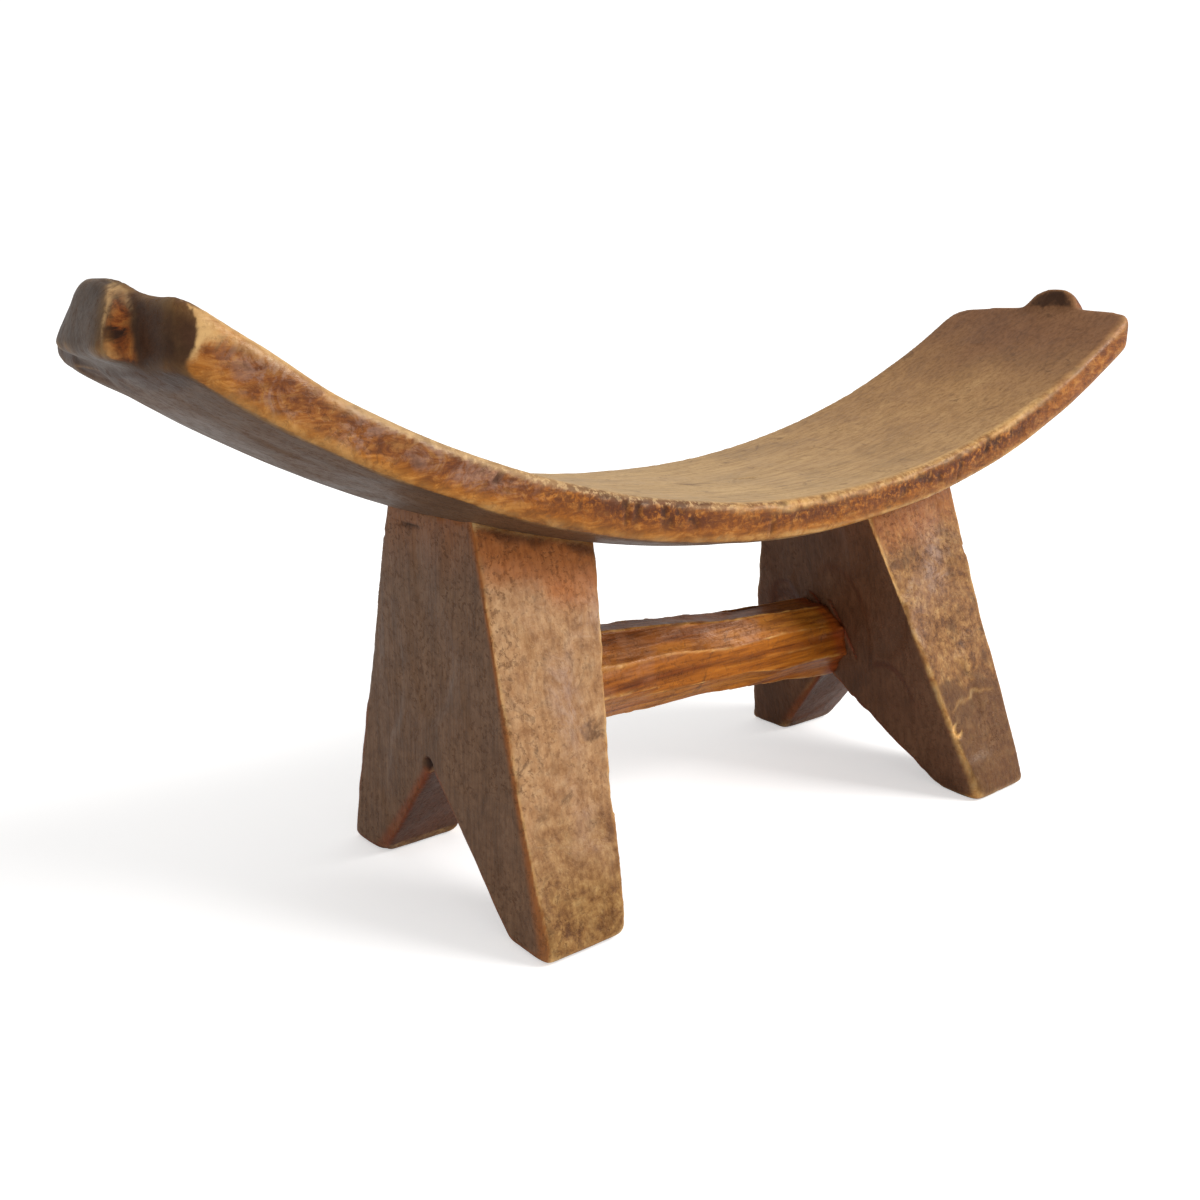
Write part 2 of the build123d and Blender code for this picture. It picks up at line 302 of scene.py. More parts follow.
def fine_copy(node, name, voxel):
    """A piece with the shape of a CAD node, on a fine even mesh."""
    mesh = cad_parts[node].data.copy()
    mesh.materials.clear()
    piece = bpy.data.objects.new(name, mesh)
    bpy.context.scene.collection.objects.link(piece)
    remesh = piece.modifiers.new("even", "REMESH")
    remesh.mode = "VOXEL"
    remesh.voxel_size = voxel
    graph = bpy.context.evaluated_depsgraph_get()
    fine = bpy.data.meshes.new_from_object(piece.evaluated_get(graph))
    piece.modifiers.clear()
    piece.data = fine
    fine.name = name
    return piece


def settle(piece, node, material):
    """Puts a finished piece on its body, in place of its CAD node."""
    mesh = piece.data
    mesh.polygons.foreach_set("use_smooth", np.ones(len(mesh.polygons), bool))
    mesh.materials.clear()
    mesh.materials.append(material)
    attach(piece, "root")
    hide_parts(node)


# ---------------------------------------------------------------- the plate


def plate_frame(points):
    """Turns points back by the plate's cant, so that its saddle is level."""
    turned = points.copy()
    sine, cosine = math.sin(-PLATE_CANT), math.cos(-PLATE_CANT)
    rise = points[:, 2] - CANT_HEIGHT
    turned[:, 0] = points[:, 0] * cosine + rise * sine
    turned[:, 2] = CANT_HEIGHT - points[:, 0] * sine + rise * cosine
    return turned


def plate_underside(points):
    """Height of the plate's underside above the floor, at each point."""
    across = (points[:, 1] - PLATE_CENTRE_Y) / PLATE_HALF_WIDTH
    arc = UNDERSIDE_RADIUS - np.sqrt(UNDERSIDE_RADIUS**2 - points[:, 0] ** 2)
    belly = BELLY_DEPTH * (1.0 - np.clip(across, -1.0, 1.0) ** 2)
    return UNDERSIDE_EDGE_HEIGHT + arc - belly - points[:, 0] * PLATE_CANT


def lug_mask(points, level_x):
    """1 on the two lugs."""
    lug = np.zeros(len(points))
    for side, (centre, half, bottom) in LUGS.items():
        beside = smoothstep(half + 0.002, half - 0.001, np.abs(points[:, 1] - centre))
        beside = beside * (side * level_x > 0.0)
        above = smoothstep(bottom, bottom + 0.005, points[:, 2])
        lug += beside * smoothstep(0.2015, 0.2035, np.abs(level_x)) * above
    return lug


class PlatePlaces:
    """Where each point of the plate lies, before the wear. Lengths follow the unrolled saddle."""

    def __init__(self, carving):
        level = plate_frame(carving.points)
        self.x, self.y = level[:, 0], level[:, 1]
        angle = np.arctan2(self.x, SADDLE_AXIS_HEIGHT - level[:, 2])
        radius = np.hypot(self.x, SADDLE_AXIS_HEIGHT - level[:, 2])
        self.along = SADDLE_RADIUS * angle  # from the middle towards the right end
        self.drop = (radius - SADDLE_RADIUS) / BAND_DEPTH  # 0 on the saddle, 1 at the lower arris
        self.unrolled = np.stack([self.along, self.y, radius], 1)
        self.to_axis = np.stack([-np.sin(angle), 0.0 * angle, np.cos(angle)], 1)
        self.facing_up = np.einsum("ij,ij->i", carving.normals, self.to_axis)
        self.facing_side = np.abs(carving.normals[:, 1])
        self.facing_end = np.abs(carving.normals[:, 0])
        self.side = smoothstep(0.5, 0.8, self.facing_side)
        self.lug = lug_mask(carving.points, self.x)
        self.near_end = smoothstep(0.189, 0.198, np.abs(self.x))
        self.shoulder = self.near_end * (1.0 - self.lug) * smoothstep(0.9, 0.3, self.drop)
        across = self.y - PLATE_CENTRE_Y
        run = self.x / EDGE_RUN
        self.from_front = across + PLATE_HALF_WIDTH + FRONT_LEAN * run - FRONT_BOW * run**2
        self.from_edge = np.minimum(self.from_front, PLATE_HALF_WIDTH - BACK_BOW * run**2 - across)


def wear_plate(carving, at):
    """Rounds the long arrises unevenly, and the end shoulders and lugs as handling does."""
    edge = carving.arris(10, 0.5 * MM)
    uneven = 0.5 + 0.5 * rough_noise(at.unrolled, 0.014, 11)
    carving.soften(7, smoothstep(0.15, 0.9, edge) * (0.1 + 0.4 * uneven))
    carving.soften(9, 0.5 * at.shoulder)
    carving.facets(21, 10, 10 * MM, 0.35 * MM, at.lug, tilt=0.12)
    carving.soften(26, at.lug)


def true_left_end(carving, at):
    """Lifts the left wing's front arris, and sets the left end's back corner over."""
    upturn = smoothstep(-0.165, -0.190, at.along) * (1.0 - at.lug)
    lift = 0.8 * smoothstep(-0.020, -0.050, at.along) * smoothstep(0.012, 0.003, at.from_front)
    lift += 1.5 * upturn * smoothstep(0.046, 0.012, at.from_front)
    carving.points += at.to_axis * (MM * lift * smoothstep(0.6, 0.1, at.drop))[:, None]
    heel = smoothstep(-0.190, -0.198, at.x) * (1.0 - at.lug) * smoothstep(0.2, 0.7, at.drop)
    brow = smoothstep(-0.188, -0.196, at.x) * (1.0 - at.lug) * smoothstep(0.9, 0.3, at.drop)
    behind = smoothstep(0.004, 0.018, at.y)
    carving.points[:, 0] += MM * behind * (3.4 * brow - 1.4 * heel)
    carving.measure()


def hew_plate(carving, at):
    """Long low waves, small hollows of the adze underneath, and a restless edge band."""
    under = smoothstep(0.2, 0.6, -at.facing_up)
    carving.press(0.35 * MM * rough_noise(at.unrolled, (0.06, 0.035, 0.03), 31))
    carving.press(under * 0.30 * MM * rough_noise(at.unrolled, (0.035, 0.006, 0.03), 41))
    carving.facets(42, 70, 15 * MM, 0.3 * MM, under, stretch=(2.2, 0.7, 1.4), tilt=0.02)
    carving.press(at.side * 0.40 * MM * rough_noise(at.unrolled, (0.016, 0.016, 0.006), 51))


def edge_cracks(at):
    """Short cracks across the edge band, each fainter than the one before.

    A crack's number sets its bend and how far down the band it lies.
    """
    cracks = np.zeros(len(at.along))
    for order, (place, number) in enumerate(CRACKS):
        bend = 0.002 * lattice_noise(at.unrolled, 0.006, 80 + number)
        line = np.abs(at.along - place - bend) / CRACK_WIDTH
        span = band_between(at.drop, 0.05 * number, 0.12 * number, 0.1)
        crack = at.side * (1.0 - smoothstep(0.4, 1.0, line)) * span
        cracks = np.maximum(cracks, crack * (1.0 - 0.1 * order))
    return cracks


def mark_plate(carving, at):
    """Pits that crowd along the band's top arris, checks in the top, and cracks across the band."""
    crowd = band_between(at.along, -0.13, 0.14, 0.04)
    crowd = crowd * (1.0 - smoothstep(0.3, 0.75, at.drop)) * smoothstep(0.0035, 0.0010, at.from_edge)
    patch = smoothstep(-0.35, 0.35, rough_noise(at.unrolled, (0.03, 0.03, 0.006), 71))
    pits = smoothstep(0.10, 0.38, lattice_noise(at.unrolled, (0.0026, 0.0026, 0.0022), 61))
    pits = pits * crowd * patch * (1.0 - at.near_end)
    checks = np.maximum.reduce([stroke(carving.points, *check) for check in CHECKS])
    cracks = edge_cracks(at)
    carving.press(pits * PIT_DEPTH + checks * CRACK_DEPTH + cracks * CRACK_DEPTH)
    carving.paint(
        pits=np.maximum(np.maximum(pits, checks), cracks),
        crowd=crowd * smoothstep(-0.5, 0.4, patch),
    )


def paint_plate_faces(carving, at, edge, noise, far):
    """Masks of the top, of the edge band and of their wear, and of where the painted sheen and the top's
    painted highlight go.
    """
    wing = band_between(at.along, -0.165, -0.030, 0.012)
    top = smoothstep(0.45, 0.85, at.facing_up)
    top = np.maximum(top, wing * smoothstep(0.16, 0.36, at.facing_up + 0.05 * noise))
    lip = smoothstep(0.0055, 0.0025, at.from_edge + 0.001 * noise) * top
    lip = lip * band_between(at.along, -0.045, 0.150, 0.03)
    pale = at.side * band_between(at.along + 0.006 * noise, -0.212, -0.200, 0.005)
    pale = pale * smoothstep(1.1, 0.5, at.drop)
    # The left wing's glossy patch: lower roughness, a darker tone, and a painted sheen laid into the colour.
    gloss = at.side * band_between(at.along, -0.196, -0.105, 0.008)
    gloss = gloss * smoothstep(0.8, 0.4, at.drop + 0.3 * noise)
    smoky = at.side * smoothstep(0.05, 0.55, noise + 0.5 * smoothstep(0.0, 0.16, at.along))
    worn = smoothstep(0.2, 0.9, edge) * (1.0 - 0.6 * at.near_end * (1.0 - at.lug))
    worn *= 1.0 - 0.7 * smoothstep(0.11, 0.18, at.along)
    worn *= 1.0 - 0.4 * smoothstep(-0.05, -0.09, at.along)
    worn *= 1.0 - 0.7 * wing * smoothstep(0.3, 0.1, at.drop)
    carving.paint(
        top=top,
        # middle: where the top carries a painted highlight, strongest at the centre.
        middle=1.0 - smoothstep(-0.02, 0.16, at.along),
        far_end=smoothstep(0.135, 0.2, at.along + 0.02 * far),
        band=smoothstep(0.45, 0.75, at.facing_side),
        low=smoothstep(0.55, 1.0, at.drop + 0.2 * noise) * at.side,
        pale=np.maximum(pale, 0.7 * lip),
        gloss=gloss,
        dim=np.maximum(gloss * smoothstep(-0.3, 0.3, noise), smoky),
        worn=worn,
        hollow=smoothstep(0.15, 0.8, -edge),
    )


def paint_plate_ends(carving, at, noise, far):
    """Masks of the dark ends, of the lugs and of the painted highlight along the left lug's arris. The left
    end is dark round onto its shoulders.
    """
    right = (at.along > 0.0).astype(float)
    dark_left = smoothstep(0.35, 0.75, at.facing_end + 0.5 * at.shoulder + 0.15 * far) * (1.0 - right)
    dark_right = smoothstep(0.80, 0.95, at.facing_end) * right
    # A painted highlight: a cream line where the left lug's surface turns from its end to its side.
    line = at.lug * band_between(at.facing_side + 0.05 * noise, 0.42, 0.58, 0.08) * (1.0 - right)
    carving.paint(
        tip=(dark_left + dark_right) * at.near_end,
        lug=at.lug,
        lug_side=np.maximum(smoothstep(0.4, 0.8, at.facing_side + 0.15 * noise), 0.6 * right),
        lug_line=0.8 * line * smoothstep(0.174, 0.182, carving.points[:, 2]),
    )


def carve_plate():
    """The saddle plate: polished on top, with a worn and pitted band along its long edges."""
    piece = fine_copy("rest_plate", "rest_plate_carved", PLATE_VOXEL)
    carving = Carving(piece)
    carving.soften(2)
    at = PlatePlaces(carving)
    wear_plate(carving, at)
    true_left_end(carving, at)
    hew_plate(carving, at)
    edge = carving.arris(12, 0.6 * MM)
    carving.soften(3, 0.7)
    mark_plate(carving, at)
    noise = rough_noise(at.unrolled, (0.018, 0.018, 0.005), 91)
    far = rough_noise(at.unrolled, (0.05, 0.03, 0.02), 95)
    paint_plate_faces(carving, at, edge, noise, far)
    paint_plate_ends(carving, at, noise, far)
    return piece


# ---------------------------------------------------------------- the trestles


def inner_face(side, height):
    """Distance from the middle to a trestle's inner face, at each height."""
    foot_place, neck_place = TRESTLES[side]
    return foot_place + (neck_place - foot_place) * height / NECK_HEIGHT


class TrestlePlaces:
    """Where each point of a trestle lies, before the wear. side is -1 for the left trestle, or 1."""

    def __init__(self, carving, side, seed):
        self.side, self.seed = side, seed
        self.start = carving.points.copy()
        self.height = self.start[:, 2]
        self.below_plate = plate_underside(self.start) - self.height
        self.edge = carving.arris(18, 0.8 * MM)
        self.forward = None  # the mask of the front, taken once the arrises are worn


def wear_trestle(carving, at):
    """Flares the front foot, and rounds the arrises unevenly and the feet a good deal."""
    flare = FOOT_FLARE * smoothstep(0.055, 0.0, at.height)
    if at.side > 0:
        flare = flare - RIGHT_WAIST * band_between(at.height, 0.060, 0.120, 0.012)
    carving.points[:, 1] -= flare * smoothstep(0.0, 0.6, -carving.normals[:, 1])
    carving.measure()
    uneven = 0.5 + 0.5 * rough_noise(at.start, 0.012, at.seed)
    foot = 1.0 - smoothstep(0.0, 0.014, at.height)
    carving.soften(7, smoothstep(0.2, 0.9, at.edge) * (0.1 + 0.5 * uneven))
    carving.soften(15, 0.7 * foot * smoothstep(0.05, 0.5, at.edge))
    at.forward = smoothstep(0.45, 0.8, -carving.normals[:, 1])


def hew_trestle(carving, at):
    """Broad flats left by the blade, then ripples across the front and along the arrises."""
    start, seed = at.start, at.seed
    body = (at.height > 0.004).astype(float)
    carving.facets(seed + 1, 70, 17 * MM, 0.25 * MM, body, stretch=(0.9, 0.9, 1.8), tilt=0.02)
    carving.soften(4)
    carving.press(0.45 * MM * rough_noise(start, (0.03, 0.03, 0.045), seed + 2))
    chatter = lattice_noise(start, (0.02, 0.02, 0.0045), seed + 3)
    where = smoothstep(0.0, 0.5, rough_noise(start, 0.022, seed + 5))
    carving.press(at.forward * where * 0.16 * MM * chatter)
    arris = smoothstep(0.2, 0.8, at.edge)
    carving.press(arris * 0.4 * MM * lattice_noise(start, (0.02, 0.02, 0.007), seed + 6))
    nick = smoothstep(0.5, 0.75, lattice_noise(start, (0.006, 0.006, 0.004), seed + 4))
    carving.press(arris * nick * 0.6 * MM)


def mark_left_trestle(carving, at):
    """The round eye at the top of the fork, and a short crack under the plate.

    Like mark_right_trestle, it gives the masks of the dark holes, the blade cuts and the flakes.
    """
    eye = spot(at.start, FORK_EYE, FORK_EYE_RADIUS)
    crack = stroke(at.start, *NECK_CRACK, 1.0 * MM)
    carving.press(1.6 * MM * eye + 0.8 * MM * crack)
    none = np.zeros(len(at.height))
    return np.maximum(eye, crack), none, none


def mark_right_trestle(carving, at):
    """Cuts where the blade ran on past the stretcher, a chip, and a flaked line on the front."""
    start, height = at.start, at.height
    cut = np.maximum(stroke(start, *SHORT_CUT, 1.0 * MM), stroke(start, *LONG_CUT, 1.2 * MM))
    chip = spot(start, CHIP, CHIP_RADIUS) - spot(start, CHIP_KERNEL, CHIP_KERNEL_RADIUS)
    chip = np.clip(chip, 0.0, 1.0)
    wander = rough_noise(start, 0.007, at.seed + 21)
    line_height = FLAKE_HEIGHT + 0.0030 * wander - FLAKE_CURVE * (start[:, 0] - FLAKE_CENTRE) ** 2
    above_line = height - line_height
    span = band_between(start[:, 0], 0.080, 0.105, 0.003) * at.forward
    flake = 0.32 * span * np.clip(1.0 - np.abs(above_line) / FLAKE_LINE_WIDTH, 0.0, 1.0)
    step = 0.5 * span * (1.0 - smoothstep(-0.6 * MM, 0.6 * MM, above_line))
    step = step * smoothstep(0.022, 0.032, height)
    carving.press(0.9 * MM * cut + 0.7 * MM * chip + 0.45 * MM * step)
    return np.zeros(len(height)), cut, np.maximum(flake, chip)


def paint_left_front(carving, at, noise, wide):
    """The left trestle's front is dull in patches, glossy with a painted sheen in the middle, and golden at
    the foot.
    """
    middle = band_between(at.height, 0.035, 0.1, 0.02)
    carving.paint(
        dim=0.6 * at.forward * smoothstep(0.25, 0.8, noise),
        gloss=at.forward * smoothstep(0.0, 0.5, wide + 0.2 * noise) * middle,
        gold=at.forward * smoothstep(0.045, 0.012, at.height + 0.01 * noise),
    )


def paint_right_front(carving, at, noise, wide):
    """The right trestle's front is flecked, darker at the foot, glossy with a painted sheen at mid height,
    with a golden patch by its arris.
    """
    start, height = at.start, at.height
    fleck = rough_noise(start, 0.007, at.seed + 31, 4)
    wander = rough_noise(start, 0.007, at.seed + 21)
    low = smoothstep(0.05, 0.034, height) * smoothstep(0.060, 0.072, start[:, 0])
    near_arris = smoothstep(0.018, 0.004, start[:, 0] - inner_face(1, height))
    gold = near_arris * smoothstep(0.03, 0.01, height)
    patch = spot(start, GOLD_PATCH, GOLD_PATCH_RADIUS) * smoothstep(-0.3, 0.3, wander)
    middle = band_between(height, 0.04, 0.1, 0.02)
    carving.paint(
        dim=at.forward * smoothstep(-0.6, 0.9, 0.6 * noise + 0.6 * fleck + 0.8 * low - 0.05),
        # The glossy patches get lower roughness and a painted sheen in the material.
        gloss=at.forward * smoothstep(0.2, 0.6, wide) * middle,
        gold=at.forward * np.maximum(gold, 0.8 * patch),
    )


def paint_trestle(carving, at, eye, cut, flake, noise):
    """Masks of a trestle's faces, arrises and single marks."""
    side, edge, height = at.side, at.edge, at.height
    outward = smoothstep(0.30, 0.70, side * carving.normals[:, 0])
    facing_down = smoothstep(0.1, 0.5, -carving.normals[:, 2]) * smoothstep(0.002, 0.006, height)
    below = smoothstep(0.10, 0.40, -carving.normals[:, 2]) * smoothstep(0.003, 0.008, height)
    ahead = (at.start[:, 1] < 0.0) * (1.0 - below)
    rim = smoothstep(0.12, 0.6, edge)
    behind = outward * (1.0 - ahead) * smoothstep(0.06, 0.045, height)
    seat = 1.0 - smoothstep(0.0, 0.030, at.below_plate + 0.006 * noise)
    worn = smoothstep(0.25, 0.9, edge) * (1.0 - 0.9 * outward) * (1.0 - 0.8 * below)
    carving.paint(
        front=at.forward,
        tawny=at.forward * (side > 0),
        # inner: faces turned to the middle, painted darker, partly the wood's tone and partly painted shade.
        inner=smoothstep(0.5, 0.85, -side * carving.normals[:, 0]),
        notch=facing_down,
        rim=rim * outward * ahead,
        scorched=rim * np.maximum(below, behind),
        seat=seat if side < 0 else 0.6 * seat,
        worn=np.maximum(worn, flake),
        hollow=smoothstep(0.15, 0.8, -edge),
        cut=cut,
        pits=eye,
    )


def carve_trestle(node, name, seed, side):
    """A forked trestle: hewn faces with softened, slightly rippled arrises."""
    piece = fine_copy(node, name, TRESTLE_VOXEL)
    carving = Carving(piece)
    carving.soften(2)
    at = TrestlePlaces(carving, side, seed)
    wear_trestle(carving, at)
    hew_trestle(carving, at)
    carving.points[:, 2] += SEAT_PUSH * (1.0 - smoothstep(0.2 * MM, 2.6 * MM, at.below_plate))
    mark = mark_left_trestle if side < 0 else mark_right_trestle
    eye, cut, flake = mark(carving, at)
    noise = rough_noise(at.start, (0.014, 0.014, 0.020), seed + 7, 4)
    wide = rough_noise(at.start, (0.03, 0.03, 0.05), seed + 9)
    paint_trestle(carving, at, eye, cut, flake, noise)
    paint_front = paint_left_front if side < 0 else paint_right_front
    paint_front(carving, at, noise, wide)
    return piece


# ---------------------------------------------------------------- the stretcher


def carve_stretcher():
    """The hewn bar between the trestles, with long blade flats."""
    piece = fine_copy("stretcher", "stretcher_hewn", STRETCHER_VOXEL)
    carving = Carving(piece)
    carving.soften(2)
    start = carving.points.copy()
    x, _, z = start.T
    gap = np.where(x < 0.0, inner_face(-1, z), inner_face(1, z)) - np.abs(x)
    body = (gap > 0.001).astype(float)
    lengthwise = {"stretch": (5.0, 0.8, 0.8), "tilt": 0.06, "solid": 0.5, "spin": (0.25, 1, 1)}
    carving.facets(301, 28, 13 * MM, 0.55 * MM, body, **lengthwise)
    carving.press(0.3 * MM * rough_noise(start, (0.03, 0.010, 0.010), 311))
    edge = carving.arris(7, 0.35 * MM)
    ripple = lattice_noise(start, (0.006, 0.012, 0.012), 321)
    carving.press(smoothstep(0.1, 0.7, edge) * 0.35 * MM * ripple)
    carving.soften(1)
    edge = carving.arris(7, 0.3 * MM)

    # The shoulders are driven into the trestles, so that no gap shows.
    push = (1.0 - smoothstep(0.3 * MM, 2.5 * MM, gap)) * smoothstep(-4 * MM, -1 * MM, gap)
    carving.points[:, 0] += np.sign(x) * SEAT_PUSH * push
    carving.measure()

    noise = rough_noise(start, (0.02, 0.008, 0.008), 331, 4)
    # ahead and the glint place a painted sheen on the facets that face the front and up.
    ahead = smoothstep(0.2, 0.8, -carving.normals[:, 1] + 0.4 * carving.normals[:, 2])
    glint = spot(start, STRETCHER_GLINT, STRETCHER_GLINT_RADIUS)
    carving.paint(
        upper=smoothstep(0.6, 0.9, carving.normals[:, 2]),
        worn=smoothstep(0.12, 0.7, edge) * smoothstep(0.002, 0.006, gap),
        hollow=smoothstep(0.1, 0.7, -edge),
        joint=1.0 - smoothstep(0.0, 0.010, gap + 0.003 * noise),
        gloss=ahead * smoothstep(0.0, 0.45, noise + 0.5 * glint),
        dim=smoothstep(0.3, 0.9, -noise),
    )
    return piece


# ---------------------------------------------------------------- node trees


def srgb(red, green, blue):
    """A colour given as 0 to 255, as the linear colour that nodes use."""
    out = []
    for value in (red, green, blue):
        share = value / 255.0
        out.append(share / 12.92 if share <= 0.04045 else ((share + 0.055) / 1.055) ** 2.4)
    return (*out, 1.0)


class Nodes:
    """Builds the node tree of a material or a world."""

    def __init__(self, owner):
        owner.use_nodes = True
        self.tree = owner.node_tree
        self.tree.nodes.clear()

    def add(self, kind, inputs=None, **settings):
        """Adds a node. inputs holds its sockets, by name or number, and what each is fed."""
        node = self.tree.nodes.new(kind)
        for key, value in settings.items():
            setattr(node, key, value)
        for key, value in (inputs or {}).items():
            if isinstance(value, bpy.types.NodeSocket):
                self.tree.links.new(value, node.inputs[key])
            else:
                node.inputs[key].default_value = value
        return node

    def math(self, operation, first, second=0.0, clamp=False):
        node = self.add("ShaderNodeMath", {0: first, 1: second}, operation=operation, use_clamp=clamp)
        return node.outputs[0]

    def between(self, value, low, high, start=0.0, end=1.0, curve="SMOOTHSTEP"):
        """Maps low..high to start..end, without going past."""
        inputs = {"Value": value, "From Min": low, "From Max": high, "To Min": start, "To Max": end}
        return self.add("ShaderNodeMapRange", inputs, interpolation_type=curve).outputs["Result"]


class Wood(Nodes):
    """Builds one wood material."""

    def __init__(self, name):
        self.material = bpy.data.materials.new(name)
        super().__init__(self.material)
        self.place = self.add("ShaderNodeTexCoord").outputs["Object"]

    def noise(self, scale, detail=4.0, roughness=0.55, distortion=0.0, offset=0.0):
        """Noise from 0 to 1. scale is how many features fit in a metre along X, Y and Z."""
        shift = (offset, offset * 0.7, offset * 1.3)
        mapping = self.add("ShaderNodeMapping", {"Vector": self.place, "Scale": scale, "Location": shift})
        inputs = {
            "Vector": mapping.outputs["Vector"],
            "Scale": 1.0,
            "Detail": detail,
            "Roughness": roughness,
            "Distortion": distortion,
        }
        return self.add("ShaderNodeTexNoise", inputs).outputs["Fac"]

    def mask(self, name, share=1.0):
        """The given share of a mask that the carving painted."""
        mask = self.add("ShaderNodeAttribute", attribute_name=name).outputs["Fac"]
        return mask if share == 1.0 else self.math("MULTIPLY", mask, share)

    def blurred(self, name, pattern, spread):
        """A painted mask whose border wanders with a pattern."""
        shift = self.math("MULTIPLY", self.math("SUBTRACT", pattern, 0.5), spread * 2.0)
        return self.between(self.math("ADD", self.mask(name), shift), 0.25, 0.75)

    def sheen(self, pattern, low, high, least, most):
        """How much painted sheen to lay on: the glossy mask, broken up by a pattern."""
        return self.math("MULTIPLY", self.mask("gloss"), self.between(pattern, low, high, least, most))

    def ramp(self, value, colours, low=0.28, high=0.72):
        """Colours spread evenly from low to high of the value."""
        node = self.add("ShaderNodeValToRGB", {"Fac": value})
        stops = node.color_ramp.elements
        while len(stops) < len(colours):
            stops.new(0.5)
        for i, colour in enumerate(colours):
            stops[i].position = low + (high - low) * i / (len(colours) - 1)
            stops[i].color = srgb(*colour)
        return node.outputs["Color"]

    def mix(self, share, first, second, blend="MIX"):
        """Lays a share of the second colour over the first."""
        inputs = {"Factor": share, 6: first, 7: second}
        return self.add("ShaderNodeMix", inputs, data_type="RGBA", blend_type=blend).outputs[2]

    def finish(self, colour, roughness, height, relief):
        """Closes the material with a waxed surface whose relief is this deep."""
        bump = self.add("ShaderNodeBump", {"Distance": relief, "Strength": 1.0, "Height": height})
        inputs = {
            "Base Color": colour,
            "Roughness": roughness,
            "Normal": bump.outputs["Normal"],
            "Specular IOR Level": SHEEN,
            "Specular Tint": SHEEN_TINT,
        }
        shader = self.add("ShaderNodeBsdfPrincipled", inputs)
        self.add("ShaderNodeOutputMaterial", {"Surface": shader.outputs["BSDF"]})
        return self.material


# ---------------------------------------------------------------- materials


def wood_figure(wood, grain):
    """The shared pattern of the timber. grain is 0, 1 or 2 for fibres along X, Y or Z."""

    def fibres(across_scale, along_scale):
        scale = [across_scale] * 3
        scale[grain] = along_scale
        return scale

    mottle = wood.noise([38.0] * 3, 5.0, 0.6, 0.6)
    bands = wood.noise(fibres(130.0, 10.0), 4.0, 0.6, 0.4, offset=3.0)
    streaks = wood.noise(fibres(680.0, 45.0), 3.0, 0.6, 0.2, offset=7.0)
    grime = wood.noise([95.0] * 3, 6.0, 0.7, 1.2, offset=11.0)
    stipple = wood.noise([560.0] * 3, 3.0, 0.65, 0.3, offset=17.0)
    figure = wood.math("ADD", wood.math("MULTIPLY", mottle, 0.50), wood.math("MULTIPLY", bands, 0.30))
    figure = wood.math("ADD", figure, wood.math("MULTIPLY", grime, 0.20))
    return {
        "mottle": mottle,
        "bands": bands,
        "streaks": streaks,
        "grime": grime,
        "stipple": stipple,
        "figure": figure,
    }


def aged_finish(
    wood, parts, colour, marks, gold, speckle=0.45, relief=0.30 * MM, streaky=0.30, dull=0.0
):
    """Adds streaks, specks, grime in the hollows and light wood on the worn arrises.

    marks are the dark pits and cuts, and gold the colours of a worn arris. speckle is the
    strength of the fine dark dots, streaky that of the fibres, and dull is added roughness.
    """
    mottle, grime, stipple = parts["mottle"], parts["grime"], parts["stipple"]
    streak_share = wood.between(parts["streaks"], 0.38, 0.68, 0.0, streaky)
    streak_colour = wood.ramp(parts["bands"], [(90, 60, 40), (150, 110, 80)])
    colour = wood.mix(streak_share, colour, streak_colour, "MULTIPLY")
    colour = wood.mix(wood.between(grime, 0.56, 0.70, 0.0, 0.5), colour, srgb(*DARK_GRIME))
    strength = wood.math("MULTIPLY", wood.between(mottle, 0.35, 0.65, 0.25, 1.0), speckle)
    specks = wood.math("MULTIPLY", wood.between(stipple, 0.52, 0.64), strength)
    colour = wood.mix(specks, colour, srgb(*DARK_SPECK))
    worn = wood.math("MULTIPLY", wood.mask("worn"), wood.between(mottle, 0.32, 0.56, 0.3, 1.0))
    colour = wood.mix(worn, colour, wood.ramp(grime, gold, 0.35, 0.65))
    colour = wood.mix(wood.mask("hollow", 0.7), colour, srgb(*DARK_HOLLOW))
    colour = wood.mix(marks, colour, srgb(*DARK_MARK))
    roughness = wood.between(mottle, 0.3, 0.7, 0.34, 0.52)
    roughness = wood.math("ADD", roughness, wood.between(stipple, 0.4, 0.7, 0.0, 0.10))
    roughness = wood.math("SUBTRACT", roughness, wood.mask("gloss", 0.12))
    roughness = wood.math("ADD", roughness, dull)
    height = wood.math("ADD", wood.math("MULTIPLY", parts["streaks"], 0.6), grime)
    height = wood.math("SUBTRACT", height, wood.math("MULTIPLY", specks, 0.9))
    height = wood.math("SUBTRACT", height, wood.math("MULTIPLY", marks, 0.8))
    return wood.finish(colour, roughness, height, relief)


def band_colour(wood, figure, grime):
    """The plate's edge band: orange-brown, lighter along its foot, smoky in parts, and with a painted sheen
    where it is glossy.
    """
    band = wood.ramp(figure, [(118, 58, 8), (156, 88, 18), (180, 112, 34)])
    low_band = wood.ramp(figure, [(154, 92, 22), (188, 124, 42), (208, 150, 66)])
    band = wood.mix(wood.mask("low", 0.8), band, low_band)
    band = wood.mix(wood.mask("dim", 0.65), band, srgb(92, 44, 20))
    smoke = wood.math("MULTIPLY", wood.blurred("gloss", grime, 0.5), 0.55)
    band = wood.mix(smoke, band, srgb(98, 56, 42))
    flecks = wood.noise((170.0, 170.0, 380.0), 6.0, 0.72, 0.8, offset=29.0)
    flecked = wood.ramp(flecks, [(80, 38, 16), (150, 88, 28), (200, 142, 72)], 0.40, 0.62)
    band = wood.mix(0.42, band, flecked)
    # Painted sheen: a lilac-grey reflection mixed into the band's colour where it is glossy.
    return wood.mix(wood.sheen(grime, 0.45, 0.58, 0.0, 0.5), band, srgb(160, 128, 112))


